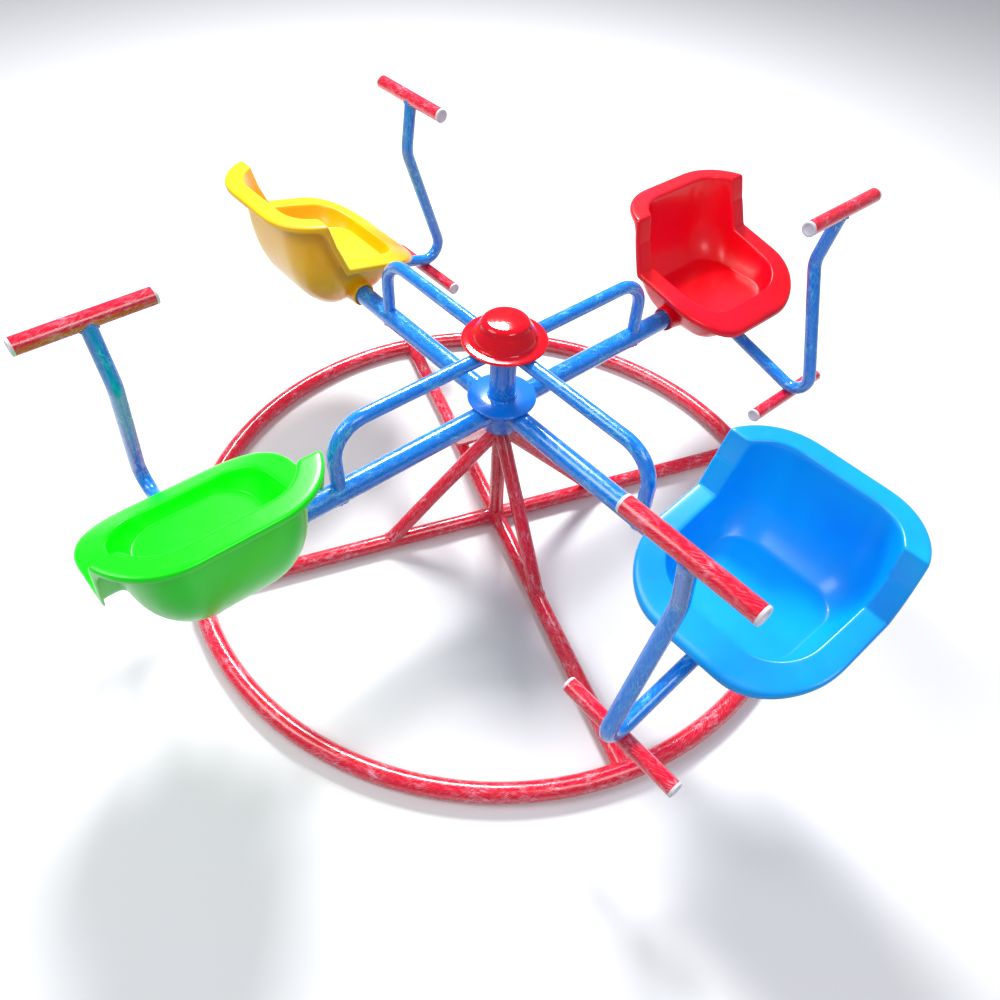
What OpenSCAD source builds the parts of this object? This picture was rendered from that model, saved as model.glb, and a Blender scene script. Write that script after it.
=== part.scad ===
// Four-seat merry go round. Units are millimetres, +Z is up, and the origin is on the ground
// under the centre post. A fixed base of ground ring, cross tubes, braces and post carries a
// spindle, and the hub with its arms, seats, handles and footrests turns on that spindle.
// One seat arm is drawn with +X outwards and -Y the way the rider faces, then turned into place.

/* [Ground frame] */
// Radius of the ground ring, to the middle of its tube
ring_r = 650; // [520:5:800]
// Outer diameter of the ground ring's tube
ring_od = 38.1; // [36:0.1:46]
// Outer diameter of the four cross tubes
cross_od = 33.7; // [32.5:0.1:35.5]
// Wall of the ring and cross tubes
base_wall = 2.6; // [2:0.1:3.2]
// Outer diameter of the centre post
post_od = 31.8; // [31:0.1:32.3]
// Wall of the centre post
post_wall = 2.6; // [2:0.1:3.2]
// Height of the centre post's top end
post_top_z = 288; // [240:1:345]
// Outer diameter of the four braces
brace_od = 30; // [24:0.5:30.5]
// Wall of the braces
brace_wall = 2; // [1.5:0.1:3]
// How far out the braces stand on the cross tubes
brace_foot_r = 250; // [180:5:320]

/* [Hub and mast] */
// Outer diameter of the bearing housing
housing_od = 86; // [80:1:100]
// Diameter of the top disc
disc_d = 135; // [110:1:160]
// Thickness of the top disc
disc_t = 6; // [4:0.5:10]
// Outer diameter of the mast
mast_od = 50.8; // [46:0.1:54]
// Wall of the mast
mast_wall = 3; // [2:0.1:3.2]
// Height of the mast above the disc
mast_h = 160; // [145:1:220]
// Diameter of the cap's flange
cap_flange_d = 160; // [140:1:190]
// Diameter of the cap's crown
cap_crown_d = 84; // [78:1:94]
// Height of the cap above its flange
cap_h = 46; // [40:1:60]

/* [Arms and rails] */
// Height of the arms above the mid plane of the bearing housing
arm_lift = 10; // [6:1:14]
// Outer diameter of the arms
arm_od = 42.4; // [38:0.1:44]
// Wall of the arms
arm_wall = 2.6; // [2:0.1:3.5]
// Outer diameter of the upper rails
rail_od = 26.9; // [22:0.1:28]
// Wall of the rails, handle posts, handle bars and footrests
rail_wall = 2; // [1.5:0.1:2.5]
// Distance of a rail's leg from the axis
rail_foot_r = 375; // [320:1:400]
// Bend radius of a rail
rail_bend_r = 66; // [50:1:80]
// Turn of the hub at rest, from +X
rest_angle = 19.5; // [0:0.5:45]

/* [Seats] */
// Distance of the seats from the axis
seat_r = 612; // [600:1:720]
// Half width of a seat's flange
seat_half_w = 180; // [172:1:190]
// Reach of a seat's flange behind its middle
seat_back = 173; // [168:1:185]
// Reach of a seat's flange in front of its middle
seat_front = 162; // [156:1:172]
// Corner radius of the flange's outline
rim_corner = 118; // [112:1:124]
// Width of the flange
seat_flange = 40; // [32:1:44]
// Wall of the seat
seat_wall = 5; // [4:0.5:7]
// Thickness of the seat's floor
seat_floor_t = 8; // [8:0.5:12]
// Height of the back rim above the arm's centreline
back_rise = 211; // [195:1:230]
// Height of the side rim, at the foot of the step, above the arm's centreline
side_rise = 105; // [98:1:120]
// Height of the front lip above the arm's centreline
lip_rise = 46; // [44:1:60]
// Depth of the seat's apron below the arm's centreline
apron_drop = 38; // [30:1:45]

/* [Handles and footrests] */
// Outer diameter of the handle posts
handle_od = 26.9; // [24:0.1:27.5]
// Outer diameter of the handle bars and footrests
bar_od = 28.6; // [28:0.1:32]
// Length of a handle bar, over its end caps
handle_bar_len = 220; // [180:1:260]
// Length of a footrest, over its end caps
footrest_len = 234; // [180:1:260]
// Straight run of a handle post, from the arm forwards to the knee
handle_run = 269; // [255:1:290]
// Fall of that run
handle_slope = 15; // [12:0.5:18]
// Turn of the knee
knee_angle = 124; // [118:1:130]
// Straight leg of a handle post, from the knee up to the elbow
handle_leg = 231; // [190:1:280]
// Turn of the elbow
elbow_angle = 28; // [20:1:32]
// Straight neck of a handle post, from the elbow up to the bar
handle_neck = 97; // [60:1:130]

/* [Fits and fasteners] */
// Radius of the spindle in its bearings
spindle_r = 12.5; // [12.3:0.1:12.7]
// Radial clearance of the bearing races on the spindle and in the housing
race_gap = 0.02; // [0.01:0.01:0.05]
// Radial clearance of the balls in their grooves
ball_gap = 0.05; // [0.03:0.01:0.1]
// Gap between the seat and the tubes that pass through its apron
seat_gap = 1; // [0.8:0.1:2]
// Diameter of the seat bolts
bolt_d = 8; // [6:1:8]
// Radial gap between an end plug and its tube
plug_gap = 0.1; // [0.05:0.05:0.3]

/* [Hidden] */

// Places of the four seat arms, counted in quarter turns from the rest angle
RED = 0;
YELLOW = 1;
GREEN = 2;
BLUE = 3;
paint_red = "crimson";
paint_blue = "dodgerblue";
steel = "silver";
far = 2000;
$fn = 64;

// Ground frame
ring_z = ring_od / 2;
drain_r = 3;
collar_h = 16;
race_z = post_top_z + collar_h;

// Bearings: two like races, with the housing's land between them
race_h = 15;
land_h = 24;
inner_race_r = spindle_r + 4.3;
ball_pitch_r = spindle_r + 6.75;
outer_race_in = spindle_r + 9.2;
race_out = spindle_r + 13.5;
ball_r = 3.4;
ball_count = 9;
upper_race_z = race_z + race_h + land_h;
race_top_z = upper_race_z + race_h;
housing_skirt = 6;
housing_z = race_z - housing_skirt;
housing_top = race_top_z + 4;
land_r = race_out - 3;
seal_r = race_out - 2;
seal_t = 4;
seal_gap = 0.3;
disc_top = housing_top + disc_t;

// Spindle end: collar through the disc's hole, washer and nut inside the mast
thread_r = 10;
collar_r = 15;
collar_top = disc_top + 3;
washer_r = 17;
washer_t = 3;
nut_af = 30;
nut_h = 16;
thread_end = 6;
disc_hole_r = 17.5;

// Mast and cap
mast_top = disc_top + mast_h;
cap_t = 4;
cap_z = mast_top - 30;
cap_skirt_r = cap_crown_d / 2 + 17;
cap_edge_r = 2.4;
crown_edge_r = 10;
cap_collar_gap = 0.2;

// Arms and rails
arm_r = arm_od / 2;
arm_z = (housing_z + housing_top) / 2 + arm_lift;
arm_end = seat_r + 85;
rail_z = cap_z - rail_od / 2 - 1.5;

// Seats: a level is [height, how far its outline is drawn in from the rim at the sides, behind,
// in front and at the corners], and front is -Y
plate_t = 6;
plate_web = 2.8;
plate_top = arm_z + arm_r + plate_web;
plate_len = 120;
plate_w = 106;
floor_z = plate_top + seat_floor_t;
apron_z = arm_z - apron_drop;
back_z = arm_z + back_rise;
side_z = arm_z + side_rise;
lip_z = arm_z + lip_rise;
step_start = -87;
step_crease = -74;
step_end = -52;
even = [1, 1, 1, 1];
foot = [apron_z, [96, 99, 70, 70]];
shoulder = [arm_z + 38, [47, 60, 44, 46]];
bucket_floor = [floor_z, [74, 87, 64, 66]];
bucket_shoulder = [floor_z + 30, [52, 63, 48, 50]];
sleeve_reach = 138;
rib_t = 5;
notch_top = 6;

// Seat bolts
bolt_r = bolt_d / 2;
bolt_gap = 0.5;
bolt_af = bolt_d * 1.625;
bolt_head_h = 5.5;
bolt_x = 42;
bolt_y = 38;
bolt_reach = 5;
tap_gap = 0.05;

// Handles and footrests: a point ahead of the seat's middle is [distance in front, height]
bar_r = bar_od / 2;
handle_r = handle_od / 2;
root = [5, arm_z - 6];
knee_bend_r = 38;
elbow_bend_r = 70;
weld_bite = 1;
leg_dir = knee_angle - handle_slope;
neck_dir = leg_dir - elbow_angle;
knee = root + handle_run * heading(-handle_slope) + knee_bend_r * heading(90 - handle_slope);
leg_top = knee + knee_bend_r * heading(leg_dir - 90) + handle_leg * heading(leg_dir);
elbow = leg_top + elbow_bend_r * heading(leg_dir - 90);
handle_bar_at = elbow + elbow_bend_r * heading(neck_dir + 90) + handle_neck * heading(neck_dir);
footrest_at = knee - [0, knee_bend_r + handle_r + bar_r - weld_bite];
sides = 24;
handle_line = concat(
    [[root, -handle_slope]],
    left_bend(knee, knee_bend_r, -handle_slope, leg_dir, 10),
    right_bend(elbow, elbow_bend_r, leg_dir, neck_dir, 3),
    [[handle_bar_at, neck_dir]]);
cap_face_t = 5;
plug_len = 14;

function heading(a) = [cos(a), sin(a)];

module tube_section(od, wall) {
    difference() {
        circle(d = od);
        circle(d = od - 2 * wall);
    }
}

// Straight round tube between two points of the XZ plane
module straight_tube(a, b, od, wall) {
    translate([a.x, 0, a.y])
        rotate([0, atan2(b.x - a.x, b.y - a.y), 0])
        linear_extrude(norm(b - a)) tube_section(od, wall);
}

// Stations along a bend in the plane ahead of a seat: each is [middle of the tube, its heading]
function left_bend(c, r, from, to, steps) =
    [for (i = [0 : steps]) let (a = from + (to - from) * i / steps) [c + r * heading(a - 90), a]];
function right_bend(c, r, from, to, steps) =
    [for (i = [0 : steps]) let (a = from + (to - from) * i / steps) [c + r * heading(a + 90), a]];
function station_ring(s, r) =
    [for (i = [0 : sides - 1]) let (a = 360 * i / sides, p = s[0] + r * cos(a) * heading(s[1] - 90))
        [r * sin(a), -p.x, p.y]];

// Round tube with its wall, swept through the stations
module swept_tube(stations, od, wall) {
    rings = concat(
        [for (s = stations) station_ring(s, od / 2)],
        [for (i = [len(stations) - 1 : -1 : 0]) station_ring(stations[i], od / 2 - wall)]);
    polyhedron(
        points = [for (ring = rings) each ring],
        faces = [for (k = [0 : len(rings) - 1], i = [0 : sides - 1])
            let (next = (k + 1) % len(rings), j = (i + 1) % sides)
            [k * sides + i, next * sides + i, next * sides + j, k * sides + j]]);
}

// Cylinder along X, centred on the XZ plane
module x_rod(r, x0, x1, z) {
    translate([x0, 0, z]) rotate([0, 90, 0]) cylinder(r = r, h = x1 - x0);
}

module ring_between(r_in, r_out, z0, z1) {
    translate([0, 0, z0]) difference() {
        cylinder(r = r_out, h = z1 - z0);
        translate([0, 0, -1]) cylinder(r = r_in, h = z1 - z0 + 2);
    }
}

// Quarter of the plan around +X, so that neighbours meet on the mitre planes
module quarter() {
    translate([0, 0, -1]) linear_extrude(far) polygon([[0, 0], [far, -far], [far, far]]);
}

// ---- Base ----

module ground_ring() {
    color(paint_red) difference() {
        rotate_extrude($fn = 128) translate([ring_r, ring_z]) tube_section(ring_od, base_wall);
        for (a = [45, 225]) rotate([0, 0, a])
            translate([ring_r, 0, -1]) cylinder(r = drain_r, h = ring_od / 2);
    }
}

module cross_tube(quarter_turns) {
    color(paint_red) rotate([0, 0, 90 * quarter_turns]) difference() {
        intersection() {
            straight_tube([0, ring_z], [ring_r, ring_z], cross_od, base_wall);
            quarter();
        }
        translate([0, 0, -1]) cylinder(d = post_od, h = ring_od + 2);
        rotate_extrude($fn = 128) translate([ring_r, ring_z]) circle(d = ring_od);
    }
}

module brace(quarter_turns) {
    head_z = post_top_z - 4;
    color(paint_red) rotate([0, 0, 90 * quarter_turns]) difference() {
        intersection() {
            straight_tube([0, head_z], [brace_foot_r, ring_z], brace_od, brace_wall);
            quarter();
        }
        cylinder(d = post_od, h = post_top_z + brace_od);
        x_rod(cross_od / 2, 0, ring_r, ring_z);
    }
}

module centre_post() {
    color(paint_red) linear_extrude(post_top_z) tube_section(post_od, post_wall);
}

module spindle() {
    plug_depth = 88;
    color(steel) {
        translate([0, 0, post_top_z - plug_depth])
            cylinder(r = post_od / 2 - post_wall - plug_gap, h = plug_depth);
        translate([0, 0, post_top_z]) cylinder(d = post_od, h = collar_h);
        translate([0, 0, race_z]) cylinder(r = spindle_r, h = race_top_z - race_z);
        translate([0, 0, race_top_z])
            cylinder(r = thread_r, h = collar_top + washer_t + nut_h + thread_end - race_top_z);
    }
}

module ball_groove(z) {
    translate([0, 0, z + race_h / 2])
        rotate_extrude() translate([ball_pitch_r, 0]) circle(r = ball_r + ball_gap);
}

module bearing_inner_races() {
    color(steel) for (z = [race_z, upper_race_z]) difference() {
        ring_between(spindle_r + race_gap, inner_race_r, z, z + race_h);
        ball_groove(z);
    }
}

module bearing_spacer() {
    color(steel) ring_between(spindle_r + 0.1, collar_r, race_z + race_h, upper_race_z);
}

module top_collar() {
    color(steel) ring_between(thread_r + 0.1, collar_r, race_top_z, collar_top);
}

module spindle_washer() {
    color(steel) ring_between(thread_r + 0.3, washer_r, collar_top, collar_top + washer_t);
}

module spindle_nut() {
    color(steel) translate([0, 0, collar_top + washer_t]) difference() {
        cylinder(d = nut_af / cos(30), h = nut_h, $fn = 6);
        translate([0, 0, -1]) cylinder(r = thread_r + tap_gap, h = nut_h + 2);
    }
}

// ---- Hub, mast and cap ----

module bearing_housing() {
    bore = race_out + race_gap;
    color(paint_blue) rotate_extrude() polygon([
        [seal_r, housing_z], [housing_od / 2, housing_z], [housing_od / 2, housing_top],
        [bore, housing_top], [bore, upper_race_z], [land_r, upper_race_z],
        [land_r, race_z + race_h], [bore, race_z + race_h], [bore, race_z - 1],
        [seal_r, race_z - 1]]);
}

module bearing_outer_races() {
    color(steel) for (z = [race_z, upper_race_z]) difference() {
        ring_between(outer_race_in, race_out, z, z + race_h);
        ball_groove(z);
    }
}

module bearing_balls() {
    color(steel) for (z = [race_z, upper_race_z], i = [0 : ball_count - 1])
        rotate([0, 0, i * 360 / ball_count])
        translate([ball_pitch_r, 0, z + race_h / 2]) sphere(r = ball_r, $fn = 32);
}

module dust_seal() {
    color("dimgray") ring_between(post_od / 2 + seal_gap, seal_r, housing_z + 0.5, housing_z + 0.5 + seal_t);
}

module hub_disc() {
    color(paint_blue) ring_between(disc_hole_r, disc_d / 2, housing_top, disc_top);
}

module mast() {
    color(paint_blue) translate([0, 0, disc_top]) linear_extrude(mast_h) tube_section(mast_od, mast_wall);
}

// Outline of the cap's outside, or of its hollow when it is drawn in by the wall
module cap_profile(inset) {
    crown_r = cap_crown_d / 2 - inset;
    edge = crown_edge_r - inset;
    top = cap_z + cap_h - inset;
    polygon(concat(
        [[0, cap_z - 1], [cap_skirt_r - inset, cap_z - 1], [cap_skirt_r - inset, cap_z + cap_t - inset]],
        [for (a = [0 : 15 : 90]) [crown_r - edge + edge * cos(a), top - edge + edge * sin(a)]],
        [[0, top]]));
}

module mast_cap() {
    rim = cap_flange_d / 2 - cap_edge_r;
    mast_fit = mast_od / 2 + cap_collar_gap;
    color("red") rotate_extrude() difference() {
        union() {
            intersection() {
                cap_profile(0);
                translate([0, cap_z]) square([far, far]);
            }
            translate([cap_skirt_r - 1, cap_z]) square([rim - cap_skirt_r + 1, 2 * cap_edge_r]);
            translate([rim, cap_z + cap_edge_r]) circle(r = cap_edge_r, $fn = 24);
        }
        difference() {
            cap_profile(cap_t);
            translate([mast_fit, cap_z]) square([cap_t, cap_h]);
            translate([mast_fit - mast_wall, mast_top]) square([mast_wall + cap_t, cap_t]);
        }
    }
}

// ---- Seat arms ----

module at_arm(k) {
    rotate([0, 0, rest_angle + 90 * k]) children();
}

module at_seat(k) {
    at_arm(k) translate([seat_r, 0, 0]) children();
}

module arm(k) {
    color(paint_blue) at_arm(k) difference() {
        straight_tube([0, arm_z], [arm_end, arm_z], arm_od, arm_wall);
        translate([0, 0, housing_z]) cylinder(d = housing_od, h = housing_top - housing_z);
    }
}

module rail(k) {
    bend_from = rail_foot_r - rail_bend_r;
    color(paint_blue) at_arm(k) difference() {
        union() {
            straight_tube([0, rail_z], [bend_from, rail_z], rail_od, rail_wall);
            translate([bend_from, 0, rail_z - rail_bend_r]) rotate([90, 0, 0])
                rotate_extrude(angle = 90) translate([rail_bend_r, 0]) tube_section(rail_od, rail_wall);
            straight_tube([rail_foot_r, arm_z], [rail_foot_r, rail_z - rail_bend_r], rail_od, rail_wall);
        }
        cylinder(d = mast_od, h = mast_top);
        x_rod(arm_r, 0, arm_end, arm_z);
    }
}

module at_bolts() {
    for (x = [-bolt_x, bolt_x], y = [-bolt_y, bolt_y]) translate([x, y, 0]) children();
}

module seat_bracket(k) {
    color(steel) at_seat(k) difference() {
        translate([-plate_len / 2, -plate_w / 2, plate_top - plate_t]) cube([plate_len, plate_w, plate_t]);
        x_rod(arm_r, -plate_len, plate_len, arm_z);
        at_bolts() translate([0, 0, plate_top - 2 * plate_t]) cylinder(r = bolt_r + bolt_gap, h = 3 * plate_t);
    }
}

// Convex solid through the levels, with their outlines drawn in further by the inset
module seat_block(levels, inset = 0) {
    hull() for (l = levels, s = [-1, 1]) let (in = l[1] + inset * even, c = rim_corner - in[3])
        for (y = [seat_back - in[1] - c, -(seat_front - in[2] - c)])
            translate([s * (seat_half_w - in[0] - c), y, l[0]]) cylinder(r = c, h = 0.1, $fn = 32);
}

// Side view of the rim: high at the back, a creased step, and a long fall to the front lip. It is
// the same line lowered square to itself by the drop.
function rim_line(drop) = [
    [-far, back_z - drop],
    [step_start - drop * 0.7, back_z - drop],
    [step_crease - drop, back_z - (back_z - side_z) * 0.45],
    [step_end - drop * 0.8, side_z - drop],
    [seat_front / 3, side_z - (side_z - lip_z) * 0.38 - drop],
    [seat_front, lip_z - drop],
    [far, lip_z - drop]];

// Space under the rim line, across the whole seat
module under_rim(drop) {
    rotate([90, 0, -90]) translate([0, 0, -far / 2]) linear_extrude(far)
        polygon(concat(rim_line(drop), [[far, 0], [-far, 0]]));
}

module seat(k) {
    color(["red", "gold", "limegreen", "deepskyblue"][k]) at_seat(k) difference() {
        union() {
            intersection() {
                seat_block([foot, shoulder, [back_z + 5, (seat_flange - seat_wall) * even]]);
                under_rim(0.5);
            }
            difference() {
                intersection() {
                    seat_block([[floor_z, 0 * even], [back_z + 1, 0 * even]]);
                    under_rim(0);
                }
                under_rim(seat_wall);
            }
            // Sleeve around the arm on the side of the hub
            x_rod(arm_r + seat_gap + seat_wall, -sleeve_reach, -sleeve_reach / 2, arm_z);
        }
        // The bucket
        seat_block([bucket_floor, bucket_shoulder, [back_z + 10, seat_flange * even]]);
        // Hollow underside, with two ribs that straddle the arm
        difference() {
            translate([0, 0, -0.2]) intersection() {
                seat_block([foot, shoulder, [back_z, seat_flange * even]], seat_wall);
                translate([-far / 2, -far / 2, 0]) cube([far, far, plate_top + 0.2]);
            }
            for (s = [-1, 1]) translate([-far / 2, s * (arm_r + seat_gap + rib_t / 2) - rib_t / 2, 0])
                cube([far, rib_t, plate_top - plate_t - 1]);
        }
        // Ways for the arm and for the handle post
        x_rod(arm_r + seat_gap, -far / 4, arm_end - seat_r + 4, arm_z);
        translate([-far / 4, -arm_r - seat_gap, 0]) cube([far / 4 + arm_end - seat_r + 4, 2 * (arm_r + seat_gap), arm_z]);
        translate([-handle_r - seat_gap, -seat_front, 0])
            cube([2 * (handle_r + seat_gap), seat_front, arm_z + notch_top]);
        // Threaded inserts for the bolts
        at_bolts() translate([0, 0, plate_top - 1]) cylinder(r = bolt_r + tap_gap, h = bolt_reach + 1.5);
    }
}

module seat_bolts() {
    color(steel) for (k = [RED : BLUE]) at_seat(k) at_bolts() translate([0, 0, plate_top - plate_t]) {
        translate([0, 0, -bolt_head_h]) cylinder(d = bolt_af / cos(30), h = bolt_head_h, $fn = 6);
        cylinder(r = bolt_r, h = plate_t + bolt_reach);
    }
}

// Places its children at a point ahead of the seat's middle
module ahead(point) {
    translate([0, -point.x, point.y]) children();
}

// Round bar across the seat, on its own axis
module bar(length) {
    straight_tube([-length / 2 + cap_face_t, 0], [length / 2 - cap_face_t, 0], bar_od, rail_wall);
}

module handle_post(k) {
    color(paint_blue) at_seat(k) difference() {
        swept_tube(handle_line, handle_od, rail_wall);
        x_rod(arm_r, -seat_r, seat_r, arm_z);
        ahead(handle_bar_at) x_rod(bar_r, -bar_od, bar_od, 0);
        ahead(footrest_at) x_rod(bar_r, -bar_od, bar_od, 0);
    }
}

module handle_bar(k) {
    color(paint_red) at_seat(k) ahead(handle_bar_at) bar(handle_bar_len);
}

module footrest(k) {
    color(paint_red) at_seat(k) ahead(footrest_at) bar(footrest_len);
}

// Pair of plugs in the ends of a bar: a face as wide as the tube, and a spigot inside it
module end_caps(length) {
    for (a = [0, 180]) rotate([0, 0, a]) translate([length / 2, 0, 0]) rotate([0, -90, 0]) {
        cylinder(r = bar_r, h = cap_face_t);
        cylinder(r = bar_r - rail_wall - plug_gap, h = cap_face_t + plug_len);
    }
}

module handle_bar_caps() {
    color("white") for (k = [RED : BLUE]) at_seat(k) ahead(handle_bar_at) end_caps(handle_bar_len);
}

module footrest_caps() {
    color("white") for (k = [RED : BLUE]) at_seat(k) ahead(footrest_at) end_caps(footrest_len);
}

ground_ring();
cross_tube(0);  // cross_tube_east
cross_tube(1);  // cross_tube_north
cross_tube(2);  // cross_tube_west
cross_tube(3);  // cross_tube_south
brace(0);  // brace_east
brace(1);  // brace_north
brace(2);  // brace_west
brace(3);  // brace_south
centre_post();
spindle();
bearing_inner_races();
bearing_spacer();
top_collar();
spindle_washer();
spindle_nut();
bearing_housing();
bearing_outer_races();
bearing_balls();
dust_seal();
hub_disc();
mast();
mast_cap();
arm(RED);  // arm_red
arm(YELLOW);  // arm_yellow
arm(GREEN);  // arm_green
arm(BLUE);  // arm_blue
rail(RED);  // rail_red
rail(YELLOW);  // rail_yellow
rail(GREEN);  // rail_green
rail(BLUE);  // rail_blue
seat_bracket(RED);  // seat_bracket_red
seat_bracket(YELLOW);  // seat_bracket_yellow
seat_bracket(GREEN);  // seat_bracket_green
seat_bracket(BLUE);  // seat_bracket_blue
seat(RED);  // seat_red
seat(YELLOW);  // seat_yellow
seat(GREEN);  // seat_green
seat(BLUE);  // seat_blue
handle_post(RED);  // handle_post_red
handle_post(YELLOW);  // handle_post_yellow
handle_post(GREEN);  // handle_post_green
handle_post(BLUE);  // handle_post_blue
handle_bar(RED);  // handle_bar_red
handle_bar(YELLOW);  // handle_bar_yellow
handle_bar(GREEN);  // handle_bar_green
handle_bar(BLUE);  // handle_bar_blue
footrest(RED);  // footrest_red
footrest(YELLOW);  // footrest_yellow
footrest(GREEN);  // footrest_green
footrest(BLUE);  // footrest_blue
handle_bar_caps();
footrest_caps();
seat_bolts();
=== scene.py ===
import math
import bmesh
import bpy
from mathutils import Matrix, Vector


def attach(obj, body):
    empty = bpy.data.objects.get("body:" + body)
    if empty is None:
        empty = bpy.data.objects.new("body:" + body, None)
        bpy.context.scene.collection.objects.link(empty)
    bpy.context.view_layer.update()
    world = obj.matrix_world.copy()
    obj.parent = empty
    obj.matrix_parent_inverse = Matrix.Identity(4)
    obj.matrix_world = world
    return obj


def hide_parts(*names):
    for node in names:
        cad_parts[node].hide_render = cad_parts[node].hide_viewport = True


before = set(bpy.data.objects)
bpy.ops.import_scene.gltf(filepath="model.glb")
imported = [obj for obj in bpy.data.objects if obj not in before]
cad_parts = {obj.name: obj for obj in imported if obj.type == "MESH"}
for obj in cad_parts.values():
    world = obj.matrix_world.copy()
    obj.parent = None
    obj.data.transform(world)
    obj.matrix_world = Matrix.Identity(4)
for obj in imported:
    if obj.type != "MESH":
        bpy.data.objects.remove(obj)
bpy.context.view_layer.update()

# ---- Ground ring ----
# A hoop of 38 mm steel tube that lies on the ground. It is rolled, welded shut and enamelled red,
# and wrapped in clear film for transport, which leaves slanting pleats over the gloss whose pale
# streaks are painted glare.
TUBE_SIDES = 32
RING_RADIUS = 0.650
RING_TUBE = 0.01905


def linear(code):
    """sRGB hex colour as the linear values that a socket takes."""
    parts = [int(code[i:i + 2], 16) / 255 for i in (1, 3, 5)]
    return [c / 12.92 if c <= 0.04045 else ((c + 0.055) / 1.055) ** 2.4 for c in parts] + [1.0]


def add_node(material, kind, inputs=None, **settings):
    """Adds a shader node with its settings, and a value or a link for each named input."""
    made = material.node_tree.nodes.new(kind)
    for name, value in settings.items():
        setattr(made, name, value)
    for name, value in (inputs or {}).items():
        if isinstance(value, bpy.types.NodeSocket):
            material.node_tree.links.new(value, made.inputs[name])
        else:
            made.inputs[name].default_value = value
    return made


def new_material(name):
    """Empty material, ready for its nodes."""
    material = bpy.data.materials.new(name)
    material.use_nodes = True
    material.node_tree.nodes.clear()
    return material


# A mix node's two colour sockets and its colour output, which share their names with other sockets
MIX_FIRST, MIX_SECOND, MIX_RESULT = 6, 7, 2


def filmed_enamel(name, paint, deep, glare, lean):
    """Gloss enamel under clear stretch film. The eye gets a deep wet colour with slanting pleats and
    cloudy patches over it, whose pale tint is painted glare mixed into the base colour. Lean is the
    pleats' slant in turns per metre of tube."""
    material = new_material(name)
    wrap = add_node(material, "ShaderNodeAttribute", attribute_name="wrap").outputs["Vector"]
    along = add_node(material, "ShaderNodeSeparateXYZ", {"Vector": wrap}).outputs["Z"]
    layers = []
    # Pleats about 2 and 5 mm wide and ten times as long, slanting both ways round the tube
    for turns, width, stretch, seed in ((lean, 0.0018, 0.16, 1.0), (-lean * 0.35, 0.0060, 0.30, 7.0)):
        angle = add_node(material, "ShaderNodeMath", {0: along, 1: turns * 2 * math.pi},
                         operation="MULTIPLY").outputs[0]
        turned = add_node(material, "ShaderNodeVectorRotate", {"Vector": wrap, "Angle": angle},
                          rotation_type="Z_AXIS").outputs["Vector"]
        drawn = add_node(material, "ShaderNodeMapping", {"Vector": turned, "Location": (seed, seed, seed),
                                                         "Scale": (1, 1, stretch)}).outputs["Vector"]
        layers.append(add_node(material, "ShaderNodeTexNoise", {
            "Vector": drawn, "Scale": 1 / width, "Detail": 3.0, "Roughness": 0.55}).outputs["Fac"])
    # Patches about 30 mm long where the film stands off the paint and turns milky; the painted glare
    # in the pleats shows most there
    patch = add_node(material, "ShaderNodeTexNoise", {
        "Vector": wrap, "Scale": 26.0, "Detail": 4.0, "Roughness": 0.6}).outputs["Fac"]
    milky_patch_and_glare = add_node(material, "ShaderNodeMapRange", {
        "Value": patch, "From Min": 0.46, "From Max": 0.62}).outputs["Result"]
    fine = add_node(material, "ShaderNodeMapRange", {
        "Value": layers[0], "From Min": 0.50, "From Max": 0.72}).outputs["Result"]
    broad = add_node(material, "ShaderNodeMapRange", {
        "Value": layers[1], "From Min": 0.52, "From Max": 0.70}).outputs["Result"]
    pleats = add_node(material, "ShaderNodeMath", {0: fine, 1: broad}, operation="MAXIMUM").outputs[0]
    shown = add_node(material, "ShaderNodeMapRange", {
        "Value": milky_patch_and_glare, "To Min": 0.22, "To Max": 1.0}).outputs["Result"]
    pleat_and_glare_mask = add_node(material, "ShaderNodeMath", {0: pleats, 1: shown}, operation="MULTIPLY").outputs[0]
    tone = add_node(material, "ShaderNodeMix", {
        "Factor": patch, MIX_FIRST: linear(paint), MIX_SECOND: linear(deep)}, data_type="RGBA")
    # Painted glare: the pleats are mixed toward the pale glare colour, a painted highlight on the film
    strength = add_node(material, "ShaderNodeMath", {0: pleat_and_glare_mask, 1: 0.80}, operation="MULTIPLY").outputs[0]
    colour = add_node(material, "ShaderNodeMix", {
        "Factor": strength, MIX_FIRST: tone.outputs[MIX_RESULT], MIX_SECOND: linear(glare)}, data_type="RGBA")
    rough = add_node(material, "ShaderNodeMapRange", {
        "Value": pleat_and_glare_mask, "To Min": 0.16, "To Max": 0.42}).outputs["Result"]
    height = add_node(material, "ShaderNodeMath", {0: layers[0], 1: layers[1]}, operation="ADD").outputs[0]
    bump = add_node(material, "ShaderNodeBump", {
        "Height": height, "Strength": 0.55, "Distance": 0.0006}).outputs["Normal"]
    shader = add_node(material, "ShaderNodeBsdfPrincipled", {
        "Base Color": colour.outputs[MIX_RESULT], "Roughness": rough, "Normal": bump,
        "Coat Weight": 0.6, "Coat Roughness": 0.08})
    add_node(material, "ShaderNodeOutputMaterial", {"Surface": shader.outputs["BSDF"]})
    return material


# The third colour, #ffb8ce, is a pale pink painted glare that the film's pleats are mixed toward
red_film = filmed_enamel("red_enamel_under_film", "#ff0038", "#dc0028", "#ffb8ce", 5.0)


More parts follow.
